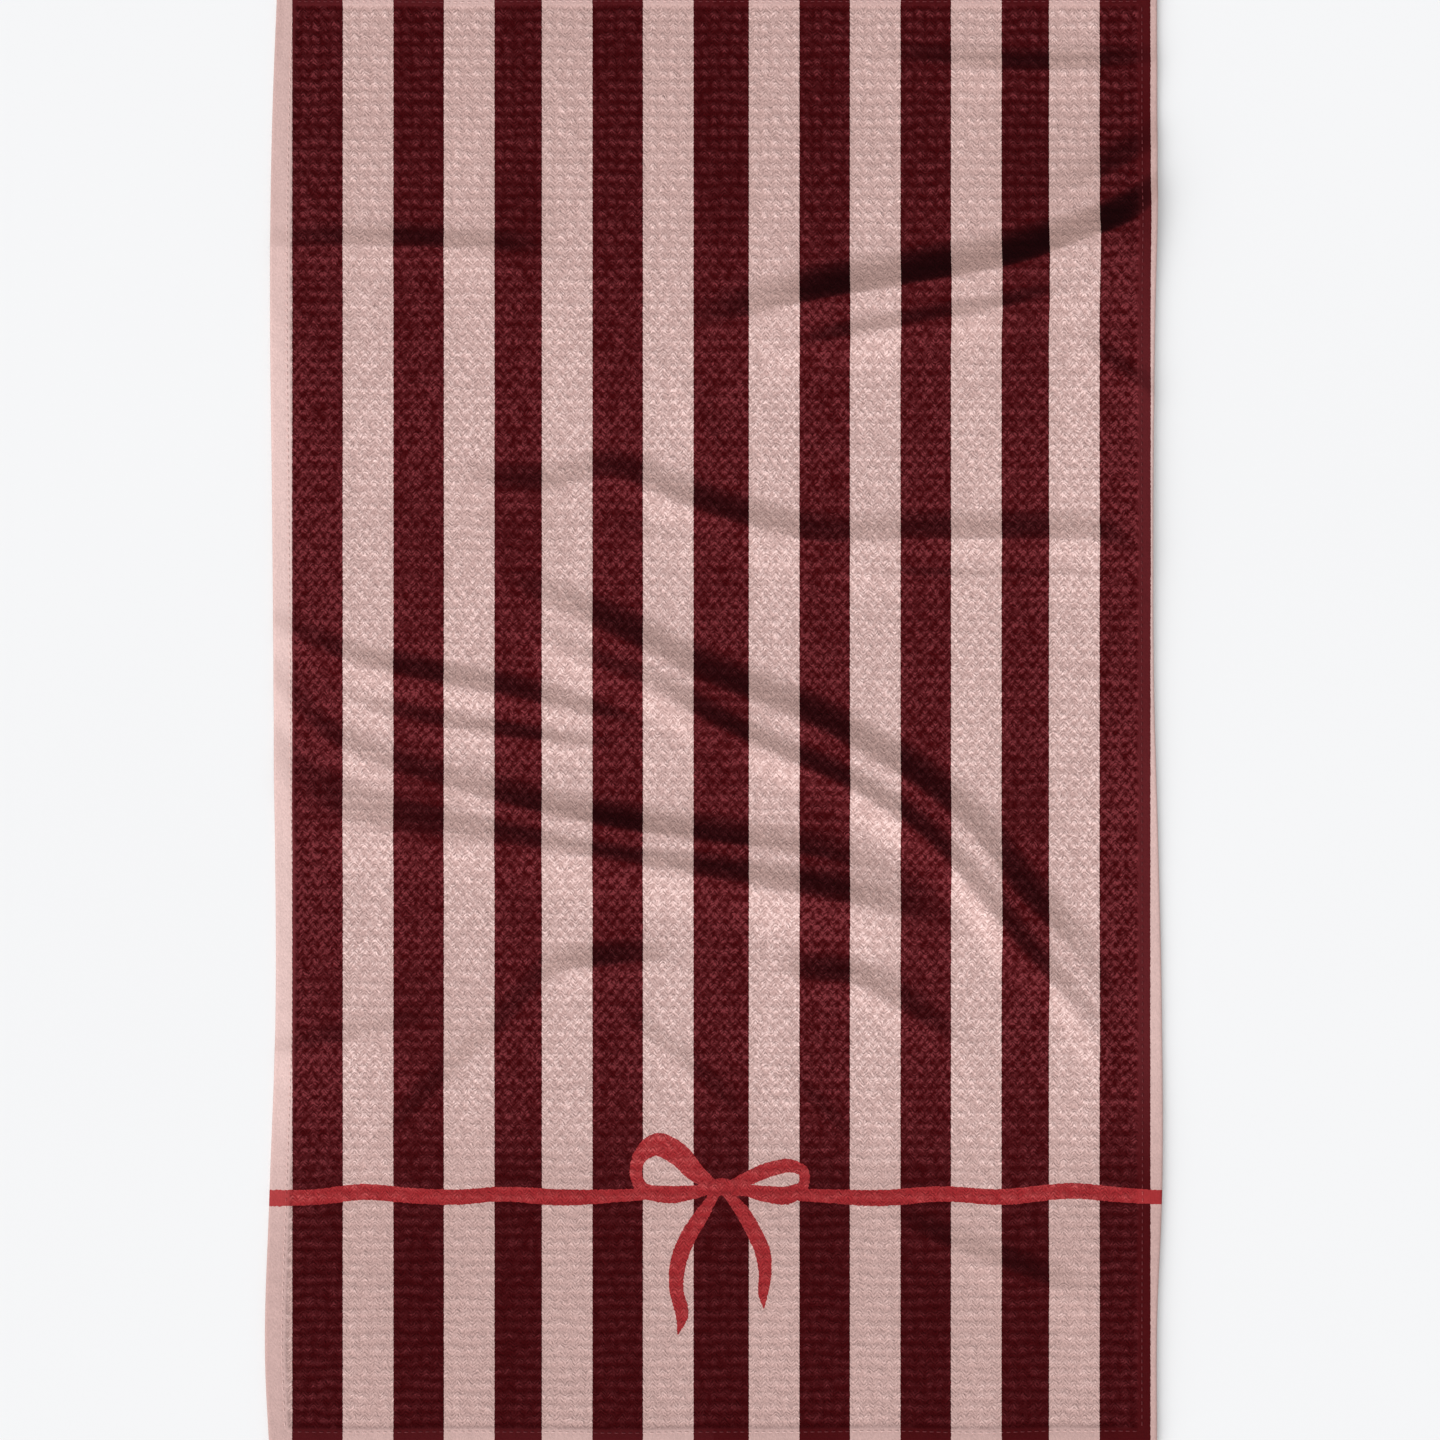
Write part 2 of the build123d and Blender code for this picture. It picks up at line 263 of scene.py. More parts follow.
def lift(x, y):
    """How far the cloth stands off the floor."""
    total = sum(fold_height(x, y, *fold) for fold in FOLDS)
    total = total + BILLOW * smoothstep(-0.3, 1, value_noise(x, y, BILLOW_SIZE, 11))
    curl = smoothstep(HALF_WIDTH - RIGHT_CURL_REACH, HALF_WIDTH, x) ** 1.5
    return total + smooth_curve(RIGHT_CURL, y) * curl * (0.85 + 0.15 * value_noise(x, y, 60, 12))


def place(u, v):
    """Where a point of the flat cloth lies in plan: the long edges wander a little."""
    left = smoothstep(-HALF_WIDTH + EDGE_REACH, -HALF_WIDTH, u) * smooth_curve(LEFT_EDGE, v)
    right = smoothstep(HALF_WIDTH - SIDE_HEM, HALF_WIDTH, u) * smooth_curve(RIGHT_EDGE, v)
    ends = smoothstep(HALF_LENGTH - EDGE_REACH, HALF_LENGTH, abs(v)) * 0.6 * value_noise(u, v, 40, 13)
    return u + left + right, v + ends


def round_corners(u, v):
    """Maps each square corner of the cloth to a quarter circle."""
    a = np.clip((abs(u) - HALF_WIDTH + CORNER_RADIUS) / CORNER_RADIUS, 0, 1)
    b = np.clip((abs(v) - HALF_LENGTH + CORNER_RADIUS) / CORNER_RADIUS, 0, 1)
    in_u = CORNER_RADIUS * a * (1 - np.sqrt(1 - b * b / 2))
    in_v = CORNER_RADIUS * b * (1 - np.sqrt(1 - a * a / 2))
    return u - np.sign(u) * in_u, v - np.sign(v) * in_v


def hem_share(u, v):
    """1 on the hems and 0 on the field, with a short eased step at the turned edge."""
    past_side = abs(u) - HALF_WIDTH + SIDE_HEM
    past_end = abs(v) - HALF_LENGTH + END_HEM
    return smoothstep(-HEM_STEP_ON_FIELD, HEM_STEP_ON_HEM, np.maximum(past_side, past_end))


def seam_dip(u, v):
    """How deep the stitches pull the hem down: deepest at the seam's needle holes."""
    across_side = (abs(u) - SIDE_SEAM) / SEAM_FURROW
    across_end = (abs(v) - END_SEAM) / SEAM_FURROW
    side = np.exp(-across_side ** 2) * (0.75 + 0.25 * np.cos(2 * np.pi * v / STITCH_LENGTH))
    end = np.exp(-across_end ** 2) * (0.75 + 0.25 * np.cos(2 * np.pi * u / STITCH_LENGTH))
    side = side * (abs(v) < END_SEAM)
    end = end * (abs(u) < SIDE_SEAM)
    return STITCH_PULL * np.maximum(side, end)


def hem_thickness(u, v):
    """Thickness of the two plies: full between seam and edge, with small puckers from the sewing."""
    pucker = 0.16 * value_noise(u, v, 5, 21) + 0.10 * value_noise(u, v, 14, 22)
    return HEM_TOP - 0.25 + pucker - seam_dip(u, v)


def pulled_flat(u, v):
    """How far the weave is stretched near the top and drawn together lower down, each from 0 to 1."""
    top = 0.85 * smoothstep(130, 290, v)
    low = smoothstep(150, 255, -v) + 0.4 * smoothstep(0.1, 0.8, value_noise(u, v, 45, 35))
    return top, np.clip(low, 0, 1 - top)


def oval(across, along, half_across, half_along, turn):
    """A steep-sided puff of height 1 on an oval that is turned from the cloth's length."""
    p = across * math.cos(turn) + along * math.sin(turn)
    q = along * math.cos(turn) - across * math.sin(turn)
    return np.exp(-((p / half_across) ** 2 + (q / half_along) ** 2) ** 1.5)


def grains(u, v):
    """The weave's relief, from 0 in the hollows to about 1 on the puffy grains.

    Small vees stand in rows and columns with small round grains between them. Near the top the
    stretched cloth has slanted grains instead, and where it is drawn together low beaded ribs.
    """
    slip_u = u + 0.8 * value_noise(u, v, 9, 31) + 0.6 * value_noise(u, v, 3.2, 32)
    slip_v = v + 0.8 * value_noise(u, v, 9, 33) + 0.6 * value_noise(u, v, 3.2, 34)
    column = slip_u / GRAIN_ACROSS
    row = slip_v / GRAIN_ALONG
    across = (column - np.round(column)) * GRAIN_ACROSS
    along = (row - np.round(row)) * GRAIN_ALONG
    across_between = (column - np.floor(column) - 0.5) * GRAIN_ACROSS
    along_between = (row - np.floor(row) - 0.5) * GRAIN_ALONG
    vees = np.maximum(oval(across + 0.8, along, 0.85, 1.8, 0.5), oval(across - 0.8, along, 0.85, 1.8, -0.5))
    loose = np.maximum(vees, 0.72 * oval(across_between, along_between, 1.2, 1.3, 0))
    rib = (0.5 + 0.5 * np.cos(2 * np.pi * row)) ** 0.6
    slanted = 0.85 * oval(across, along, 2.1, 1.2, -0.65) + 0.12 * rib
    ribbed = 0.45 * oval(across, along, 1.9, 1.5, 0) + 0.35 * rib
    top, low = pulled_flat(u, v)
    puffs = loose * (1 - top - low) + slanted * top + ribbed * low
    uneven = 0.85 + 0.6 * value_noise(u, v, 2.8, 36)
    return puffs * uneven + 0.22 * value_noise(u, v, 1.7, 37)


# ---------------------------------------------------------------- the ribbon and bow of the print

# Each stroke: the middle of a painted ribbon as (x, y, half width)
RIBBON_STROKES = [
    # Band from edge to edge
    [(-210, -220, 3.9), (-182, -219.6, 3.6), (-160, -217.2, 3.7), (-140, -218.8, 3.5), (-118, -219.6, 3.5),
     (-98, -218.2, 3.4), (-70, -219.8, 3.7), (-40, -218.8, 2.8), (0, -216.5, 2.2), (44, -218.8, 2.9),
     (76, -220, 3.7), (105, -218.2, 3.5), (130, -219.6, 3.6), (165, -216.8, 3.6), (186, -218.6, 3.4),
     (210, -219.6, 3.2)],
    # Left loop
    [(0, -214.4, 2.3), (-8, -209, 4.0), (-17.5, -199.4, 5.3), (-26.3, -195.6, 5.2), (-33.4, -200.2, 3.5),
     (-36, -208, 2.8), (-33, -215.6, 3.0), (-22.6, -218.4, 4.0), (-11.2, -217.6, 3.3), (0, -215.4, 1.8)],
    # Right loop
    [(5.7, -214.9, 1.8), (16.2, -210.6, 3.2), (26.3, -206.6, 3.4), (35.4, -205.4, 3.0), (40.6, -208, 2.5),
     (40.8, -213.6, 2.4), (34.5, -218.4, 4.0), (24.4, -218.3, 3.8), (13.9, -216.3, 2.6), (6.2, -215.4, 1.8)],
    # Tails
    [(0.4, -218, 2.0), (-6.2, -228.2, 3.3), (-13, -239.6, 3.7), (-17.1, -252.4, 3.6), (-17.4, -262, 3.2),
     (-14.9, -273.6, 2.9), (-16.7, -282.5, 0.2)],
    [(5.6, -217.6, 2.0), (13, -226.8, 3.2), (18.5, -236.4, 3.5), (22.2, -245.5, 3.5), (23.1, -255, 2.9),
     (22.2, -263.8, 2.2), (22.6, -270.7, 0.2)],
    # Knot
    [(0.2, -214.8, 3.0), (3.4, -214.2, 3.3), (6.6, -214.8, 3.0)],
]
KNOT = RIBBON_STROKES[-1]
STROKE_POINTS = 14
RIBBON_ZONE = (-291, -181)
KNOT_ZONE = (-226, -201)
KNOT_REACH = 20
KNOT_LINE_WIDTH = 0.5


def stroke_distance(x, y, stroke):
    """Signed distance to the edge of one painted stroke, negative inside it."""
    points = np.array(stroke, float)
    run = np.concatenate([[0], np.cumsum(np.hypot(*np.diff(points[:, :2], axis=0).T))])
    along = np.linspace(0, run[-1], STROKE_POINTS * (len(points) - 1))
    line_x, line_y, half = (smooth_curve(np.column_stack([run, points[:, k]]), along) for k in range(3))
    nearest = np.full(x.shape, FAR_AWAY)
    for k in range(len(along) - 1):
        dx = line_x[k + 1] - line_x[k]
        dy = line_y[k + 1] - line_y[k]
        t = np.clip(((x - line_x[k]) * dx + (y - line_y[k]) * dy) / (dx * dx + dy * dy), 0, 1)
        away = np.hypot(x - line_x[k] - t * dx, y - line_y[k] - t * dy)
        nearest = np.minimum(nearest, away - half[k] - t * (half[k + 1] - half[k]))
    return nearest


def ribbon_distance(x, y):
    """Signed distance to the printed ribbon and bow, worked out only where the ribbon can be."""
    distance = np.full(x.shape, FAR_AWAY)
    near = (y > RIBBON_ZONE[0]) & (y < RIBBON_ZONE[1])
    strokes = [stroke_distance(x[near], y[near], stroke) for stroke in RIBBON_STROKES]
    distance[near] = np.minimum.reduce(strokes)
    return distance


def knot_line(x, y):
    """1 on the thin darker line painted round the knot, fading to 0 beside it."""
    line = np.zeros(x.shape)
    near = (abs(x) < KNOT_REACH) & (y > KNOT_ZONE[0]) & (y < KNOT_ZONE[1])
    line[near] = np.exp(-(stroke_distance(x[near], y[near], KNOT) / KNOT_LINE_WIDTH) ** 2)
    return line


# ---------------------------------------------------------------- meshes

def new_object(name, vertices, sizes, corners):
    """An object from vertices in millimetres, the number of corners of each face, and those corners."""
    mesh = bpy.data.meshes.new(name)
    mesh.vertices.add(len(vertices))
    mesh.vertices.foreach_set("co", (np.asarray(vertices, float) * MM).ravel())
    mesh.loops.add(len(corners))
    mesh.loops.foreach_set("vertex_index", np.asarray(corners, np.int32))
    mesh.polygons.add(len(sizes))
    starts = np.concatenate([[0], np.cumsum(sizes)[:-1]]).astype(np.int32)
    mesh.polygons.foreach_set("loop_start", starts)
    mesh.update(calc_edges=True)
    mesh.polygons.foreach_set("use_smooth", np.ones(len(sizes), bool))
    obj = bpy.data.objects.new(name, mesh)
    bpy.context.collection.objects.link(obj)
    return obj


def add_values(obj, name, values):
    """Stores one number at each vertex for the material to read."""
    layer = obj.data.attributes.new(name, "FLOAT", "POINT")
    layer.data.foreach_set("value", np.asarray(values, np.float32).ravel())


def finish_piece(obj, material, body, slot, *nodes):
    """Gives a piece its material and its body, and hides the CAD nodes that it stands for. The slot is not
    used.
    """
    obj.data.materials.append(material)
    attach(obj, body)
    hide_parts(*nodes)


def grid_lines(half):
    """Grid lines from -half to half: even inside, closer together where the edge is rounded."""
    edge = np.array(EDGE_LINES)
    inner = half - EDGE_ROUNDING - EDGE_MARGIN
    count = int(round(2 * inner / GRID_STEP)) + 1
    return np.concatenate([-half + edge, np.linspace(-inner, inner, count), half - edge[::-1]])


def underside_lines(lines, half, hem):
    """The few grid lines that the underside keeps: every fourth, the edges and the hem's turned edge."""
    count = len(lines)
    kept = set(range(len(EDGE_LINES) + 1)) | set(range(count - len(EDGE_LINES) - 1, count))
    kept |= set(range(0, count, UNDERSIDE_STRIDE))
    kept |= set(np.flatnonzero(abs(abs(lines) - half + hem) < TURNED_EDGE_KEPT))
    return sorted(int(k) for k in kept)


def painted_light_slope(stand, u_lines, v_lines):
    """Slope of the lying cloth along the way the painted light travels: above zero a slope faces that light
    and is painted lighter, below zero it faces away and is painted in shade.
    """
    rise_v, rise_u = np.gradient(stand, v_lines, u_lines)
    return rise_u * PAINTED_LIGHT_DIRECTION[0] + rise_v * PAINTED_LIGHT_DIRECTION[1]


def rounded_edge(u, v):
    """0 at the cloth's outer edge, climbing in a quarter round to 1."""
    inwards = np.minimum(HALF_WIDTH - abs(u), HALF_LENGTH - abs(v))
    t = np.clip(inwards / EDGE_ROUNDING, 0, 1)
    return np.sqrt(1 - (1 - t) ** 2)


def underside_faces(columns, rows, width, height, ids):
    """Faces of the underside, whose outermost ones take in every edge vertex of the finer face side."""
    sizes = []
    corners = []
    for q in range(len(rows) - 1):
        for p in range(len(columns) - 1):
            left, right, low, high = columns[p], columns[p + 1], rows[q], rows[q + 1]
            up = range(low, high) if left == 0 else [low]
            across = range(left, right) if high == height - 1 else [left]
            down = range(high, low, -1) if right == width - 1 else [high]
            back = range(right, left, -1) if low == 0 else [right]
            face = [ids[j, left] for j in up] + [ids[high, i] for i in across]
            face += [ids[j, right] for j in down] + [ids[low, i] for i in back]
            sizes.append(len(face))
            corners.extend(face)
    return sizes, corners


def cloth_faces(u_lines, v_lines):
    """Faces of the closed cloth, and the grid points where its underside has vertices of its own.

    The upper face has a vertex at each grid point. The underside shares those round the edge. Its own
    follow after all of the upper face's, at every fourth grid point and along the turned edges.
    """
    width, height = len(u_lines), len(v_lines)
    ids = np.arange(width * height).reshape(height, width)
    quads = np.stack([ids[:-1, :-1], ids[:-1, 1:], ids[1:, 1:], ids[1:, :-1]], -1).reshape(-1, 4)
    columns = underside_lines(u_lines, HALF_WIDTH, SIDE_HEM)
    rows = underside_lines(v_lines, HALF_LENGTH, END_HEM)
    own = np.ix_(rows[1:-1], columns[1:-1])
    under_ids = ids.copy()
    under_ids[own] = width * height + np.arange(ids[own].size).reshape(ids[own].shape)
    under_sizes, under_corners = underside_faces(columns, rows, width, height, under_ids)
    return [4] * len(quads) + under_sizes, np.concatenate([quads.ravel(), under_corners]), own


def nap_and_painted_light_values(u, v, hem, relief, edge, slope):
    """How much raised nap each point shows, with painted light on flanks that face the light, and from 0 to 1
    how much painted shade it takes.
    """
    top_pull, low_pull = pulled_flat(u, v)
    # Less nap where the weave is pulled flat at both ends, which also puts a painted shade on both ends
    flattened = 1 - 0.35 * top_pull - 0.6 * low_pull
    fuller_near_sides = 1 + 0.35 * smoothstep(150, 190, abs(u))
    # Painted light: the nap shows more on flanks that face the light and less on those that face away
    nap_and_painted_light = np.clip(relief, 0, 1) * flattened * np.clip(1 + 0.9 * slope, 0, 1.3)
    nap_and_painted_light = 0.02 + 0.95 * nap_and_painted_light * fuller_near_sides
    # The hems' nap, with painted light: the left hem, towards the light, lighter than the right, and both
    # less towards the ends
    hem_nap_and_painted_light = (0.62 - 0.2 * np.sign(u)) * (1 - 0.75 * top_pull - 0.75 * low_pull)

    # Painted shade: on fold flanks that face away from the light, towards both ends and at the rounded outer
    # edge
    on_shaded_flanks = 1 - np.exp(4.2 * np.clip(slope + 0.04, None, 0))
    painted_shade_at_ends = 0.22 * (top_pull + low_pull) * (1 - hem)
    painted_shade_at_outer_edge = 0.7 * (1 - edge)
    painted_shade = np.clip(on_shaded_flanks + painted_shade_at_ends + painted_shade_at_outer_edge, 0, 1)
    return nap_and_painted_light * (1 - hem) + hem_nap_and_painted_light * hem, painted_shade


def make_cloth():
    """The whole cloth as one closed mesh: a fine upper face with the weave and a coarser underside."""
    u_lines = grid_lines(HALF_WIDTH)
    v_lines = grid_lines(HALF_LENGTH)
    u, v = np.meshgrid(u_lines, v_lines)
    hem = hem_share(u, v)
    relief = grains(u, v)
    edge = rounded_edge(u, v)
    x, y = place(*round_corners(u, v))
    stand = lift(x, y)
    thick = hem_thickness(u, v) * hem + (FIELD_BASE + GRAIN_HEIGHT * relief) * (1 - hem)
    middle = stand + thick / 2
    turned_edge = np.minimum(abs(HALF_WIDTH - SIDE_HEM - abs(u)), abs(HALF_LENGTH - END_HEM - abs(v)))
    groove = TURNED_EDGE_GROOVE * np.exp(-(turned_edge / TURNED_EDGE_WIDTH) ** 2)
    top = np.stack([x, y, middle + thick / 2 * edge], -1)
    under = np.stack([x, y, middle - (thick / 2 - groove) * edge], -1)

    sizes, corners, own = cloth_faces(u_lines, v_lines)
    own_points = under[own].reshape(-1, 3)
    vertices = np.concatenate([top.reshape(-1, 3), own_points])
    cloth = new_object("towel_cloth", vertices, sizes, corners)

    def both(on_top, below):
        """A value at each point of the upper face, and one value for the whole underside."""
        return np.concatenate([on_top.ravel(), np.full(len(own_points), below)])

    nap_and_painted_light, painted_shade = nap_and_painted_light_values(u, v, hem, relief, edge, painted_light_slope(stand, u_lines, v_lines))
    add_values(cloth, "ribbon", both(ribbon_distance(x, y), FAR_AWAY))
    add_values(cloth, "knot", both(knot_line(x, y), 0.0))
    add_values(cloth, "nap_and_painted_light", both(nap_and_painted_light, 0.3))
    add_values(cloth, "painted_shade", both(painted_shade, 0.0))
    add_values(cloth, "hem", both(hem, 0.0))
    add_values(cloth, "unprinted", both(np.zeros(u.shape), 1.0))
    return cloth


def add_print_values(obj):
    """Works out the printed ribbon at each vertex of a piece that lies on the cloth's face."""
    points = np.empty(3 * len(obj.data.vertices))
    obj.data.vertices.foreach_get("co", points)
    x, y, _ = points.reshape(-1, 3).T / MM
    add_values(obj, "ribbon", ribbon_distance(x, y))


def top_height(u, v):
    """Height of the hem's upper face at a point of the flat cloth."""
    x, y = place(u, v)
    return lift(x, y) + hem_thickness(u, v)


# ---------------------------------------------------------------- materials

def linear(display):
    """A display colour as the linear colour that a shader takes."""
    def channel(value):
        value = value / 255
        return value / 12.92 if value <= 0.04045 else ((value + 0.055) / 1.055) ** 2.4
    return tuple(channel(value) for value in display) + (1.0,)


class Nodes:
    """A short way to write a material's nodes."""

    def __init__(self, name):
        self.material = bpy.data.materials.new(name)
        self.material.use_nodes = True
        self.tree = self.material.node_tree
        self.shader = self.tree.nodes["Principled BSDF"]
        self.place = self.add("ShaderNodeTexCoord").outputs["Object"]

    def add(self, kind, **settings):
        node = self.tree.nodes.new(kind)
        for key, value in settings.items():
            setattr(node, key, value)
        return node

    def put(self, socket, value):
        """Links a socket to another node's output, or sets it to a plain value."""
        if isinstance(value, bpy.types.NodeSocket):
            self.tree.links.new(value, socket)
        else:
            socket.default_value = value

    def math(self, operation, a, b=None):
        node = self.add("ShaderNodeMath", operation=operation)
        self.put(node.inputs[0], a)
        if b is not None:
            self.put(node.inputs[1], b)
        return node.outputs[0]

    def mix(self, share, a, b, blend="MIX"):
        node = self.add("ShaderNodeMix", data_type="RGBA", blend_type=blend)
        self.put(node.inputs["Factor"], share)
        self.put(node.inputs[6], a)
        self.put(node.inputs[7], b)
        return node.outputs[2]

    def value(self, name):
        return self.add("ShaderNodeAttribute", attribute_name=name).outputs["Fac"]

    def noise(self, scale, detail=2.0, stretch=(1, 1, 1)):
        mapping = self.add("ShaderNodeMapping")
        self.put(mapping.inputs["Vector"], self.place)
        mapping.inputs["Scale"].default_value = stretch
        node = self.add("ShaderNodeTexNoise")
        self.put(node.inputs["Vector"], mapping.outputs[0])
        node.inputs["Scale"].default_value = scale
        node.inputs["Detail"].default_value = detail
        return node.outputs["Fac"]

    def ramp(self, value, low, high, start=0.0, end=1.0):
        node = self.add("ShaderNodeMapRange")
        self.put(node.inputs["Value"], value)
        for key, number in zip(("From Min", "From Max", "To Min", "To Max"), (low, high, start, end)):
            node.inputs[key].default_value = number
        return node.outputs[0]

    def bump(self, height, distance, strength=1.0, below=None):
        node = self.add("ShaderNodeBump")
        node.inputs["Distance"].default_value = distance
        self.put(node.inputs["Strength"], strength)
        self.put(node.inputs["Height"], height)
        if below is not None:
            self.put(node.inputs["Normal"], below)
        return node.outputs[0]

    def grey(self, value):
        """A grey colour of the given brightness."""
        node = self.add("ShaderNodeCombineColor")
        for socket in node.inputs:
            self.put(socket, value)
        return node.outputs[0]

    def set(self, **values):
        for key, value in values.items():
            self.put(self.shader.inputs[key.replace("_", " ")], value)


def print_colours(n):
    """The printed stripes, ribbon and bow, as a colour in painted shade, a hollow colour and a napped colour
    with a painted sheen.
    """
    split = n.add("ShaderNodeSeparateXYZ")
    n.put(split.inputs[0], n.place)
    bleed = n.ramp(n.noise(900), 0.3, 0.7, -0.00012, 0.00012)
    x = n.math("ADD", split.outputs["X"], bleed)

    # Stripes: the centre one, then eight to each side, alternately pink and burgundy. One on each side
    # is narrower, so what lies past it is read a little further out.
    from_centre = n.math("ABSOLUTE", n.math("SUBTRACT", x, PRINT_CENTRE * MM))
    past = n.math("SUBTRACT", from_centre, CENTRE_STRIPE / 2 * MM)
    for side, place_of_narrow in ((-1, NARROW_LEFT), (1, NARROW_RIGHT)):
        inner = CENTRE_STRIPE / 2 + (place_of_narrow - 1) * STRIPE
        near, far = (PRINT_CENTRE + side * out for out in (inner, inner + NARROW_STRIPE))
        past = n.math("ADD", past, n.ramp(x, near * MM, far * MM, 0.0, (STRIPE - NARROW_STRIPE) * MM))
    turn = n.math("MODULO", past, 2 * STRIPE * MM)
    in_centre = n.math("LESS_THAN", past, 0.0)
    odd = n.math("GREATER_THAN", turn, STRIPE * MM)
    printed = n.math("LESS_THAN", past, STRIPE * STRIPES_EACH_SIDE * MM)
    dark = n.math("MAXIMUM", in_centre, n.math("MULTIPLY", odd, printed))

    # Ribbon and bow, with a darker line round the knot
    ragged = n.math("ADD", n.value("ribbon"), n.ramp(n.noise(700), 0.3, 0.7, -0.2, 0.2))
    painted = n.math("LESS_THAN", ragged, 0.0)
    outlined = n.math("MULTIPLY", n.value("knot"), 0.4)
    tones = []
    for pink, burgundy, red, bare in zip(PINK, BURGUNDY, RIBBON_RED, UNPRINTED):
        ribbon = n.mix(outlined, linear(red), linear(KNOT_OUTLINE))
        face = n.mix(painted, n.mix(dark, linear(pink), linear(burgundy)), ribbon)
        tones.append(n.mix(n.value("unprinted"), face, linear(bare)))
    return tones


def knitted_yarns(n):
    """Fine yarns that lean left and right by turns and so make small vees: 0 between them and 1 on them."""
    split = n.add("ShaderNodeSeparateXYZ")
    n.put(split.inputs[0], n.place)
    lean = n.math("PINGPONG", split.outputs["X"], GRAIN_ACROSS / 2 * MM)
    wobble = n.ramp(n.noise(420), 0.3, 0.7, -0.6 * MM, 0.6 * MM)
    along = n.math("ADD", n.math("ADD", split.outputs["Y"], lean), wobble)
    wave = n.math("SINE", n.math("MULTIPLY", along, 2 * math.pi / (YARN_PITCH * MM)))
    broken = n.ramp(n.noise(600), 0.35, 0.65)
    return n.ramp(n.math("MULTIPLY", wave, broken), -1.0, 1.0)


def cloth_material():
    """Printed microfibre: the nap takes less ink than the hollows, and small vees of yarn show in both.
    Painted light and shade lie on the folds, the yarns and the nap.
    """
    n = Nodes("printed_waffle_cloth")
    painted_shade, hollow, napped_with_painted_sheen = print_colours(n)
    vees = knitted_yarns(n)
    speckle = n.ramp(n.noise(1100, 2.0), 0.35, 0.7, 0.55, 1.55)
    speckle = n.math("MULTIPLY", speckle, n.ramp(vees, 0.0, 1.0, 0.2, 1.8))
    speckle = n.mix(n.value("hem"), n.grey(speckle), WHITE)
    # The napped colour, with its painted sheen, shows with the nap and with the painted light on the folds
    colour = n.mix(n.math("MULTIPLY", n.value("nap_and_painted_light"), speckle), hollow, napped_with_painted_sheen)
    # Painted shade on fold flanks, towards both ends and at the outer edge
    colour = n.mix(n.value("painted_shade"), colour, painted_shade)
    yarns = n.ramp(n.noise(1500, 3.0, (1.0, 0.55, 1.0)), 0.3, 0.7, 0.90, 1.10)
    patches = n.ramp(n.noise(14, 3.0), 0.3, 0.7, 0.97, 1.03)
    # Painted light and shade on the fine yarn vees: lighter on the yarns, darker between them, except on the
    # hems
    painted_yarn_light_and_shade = n.mix(n.value("hem"), n.grey(n.ramp(vees, 0.0, 1.0, 0.74, 1.28)), WHITE)
    colour = n.mix(1.0, colour, painted_yarn_light_and_shade, "MULTIPLY")
    colour = n.mix(1.0, colour, n.grey(n.math("MULTIPLY", yarns, patches)), "MULTIPLY")

    fibres = n.bump(n.noise(2300, 3.0), 0.0002, 0.5)
    loose = n.ramp(n.value("hem"), 0.0, 1.0, 0.75, 0.2)
    twists = n.bump(n.noise(900, 2.0, (1.0, 0.6, 1.0)), 0.0008, loose, fibres)
    twists = n.bump(vees, 0.0003, loose, twists)
    n.set(Base_Color=colour, Normal=twists, Roughness=n.ramp(n.noise(1200), 0.3, 0.7, 0.82, 0.95))
    n.set(Specular_IOR_Level=0.06)
    return n.material


def printed_thread_material():
    """The needle thread was sewn before printing, so it carries the stripes on a smoother surface."""
    n = Nodes("printed_thread")
    _, hollow, napped_with_painted_sheen = print_colours(n)
    twist = n.ramp(n.noise(1800, 2.0), 0.3, 0.7, 0.35, 1.0)
    n.set(Base_Color=n.mix(twist, hollow, napped_with_painted_sheen), Roughness=0.6, Specular_IOR_Level=0.2)
    n.set(Normal=n.bump(n.noise(5200, 1.0), 0.00015, 0.6))
    return n.material


def thread_material(name, display):
    """Twisted polyester thread with a slight gloss."""
    n = Nodes(name)
    tone = n.ramp(n.noise(1800, 2.0), 0.3, 0.7, 0.86, 1.08)
    n.set(Base_Color=n.mix(1.0, linear(display), n.grey(tone), "MULTIPLY"), Roughness=0.5)
    n.set(Specular_IOR_Level=0.15, Sheen_Weight=0.03)
    n.set(Normal=n.bump(n.noise(5200, 1.0), 0.00015, 0.6))
    return n.material


def tape_material():
    """Ribbed polyester webbing: painted shade between the ribs, worn paler where it bends round the bar."""
    n = Nodes("woven_tape")
    # Painted shade between the ribs
    rib = n.ramp(n.value("rib"), 0.0, 1.0, 0.72, 1.10)
    yarns = n.ramp(n.noise(1600, 2.0), 0.3, 0.7, 0.88, 1.12)
    tone = n.math("MULTIPLY", rib, yarns)
    worn = n.mix(n.math("MULTIPLY", n.value("wear"), 0.3), linear(TAPE_BURGUNDY), linear(TAPE_WORN))
    n.set(Base_Color=n.mix(1.0, worn, n.grey(tone), "MULTIPLY"), Roughness=0.72)
    n.set(Specular_IOR_Level=0.1, Sheen_Weight=0.03)
    n.set(Normal=n.bump(n.noise(3200, 2.0), 0.00015, 0.6))
    return n.material


def metal_material(name, display, roughness, scratches):
    """Satin metal: uneven polish, fine scratches and duller handled patches."""
    n = Nodes(name)
    handled = n.noise(160, 4.0)
    fine = n.noise(2600, 2.0, (1.0, 0.08, 1.0))
    tone = n.ramp(handled, 0.3, 0.75, 0.86, 1.04)
    duller = n.ramp(handled, 0.35, 0.7, roughness - 0.07, roughness + 0.10)
    duller = n.math("ADD", duller, n.ramp(fine, 0.4, 0.7, 0, 0.08))
    n.set(Base_Color=n.mix(1.0, linear(display), n.grey(tone), "MULTIPLY"), Metallic=1.0, Roughness=duller)
    n.set(Normal=n.bump(fine, 0.00005, scratches))
    return n.material


# ---------------------------------------------------------------- stitches

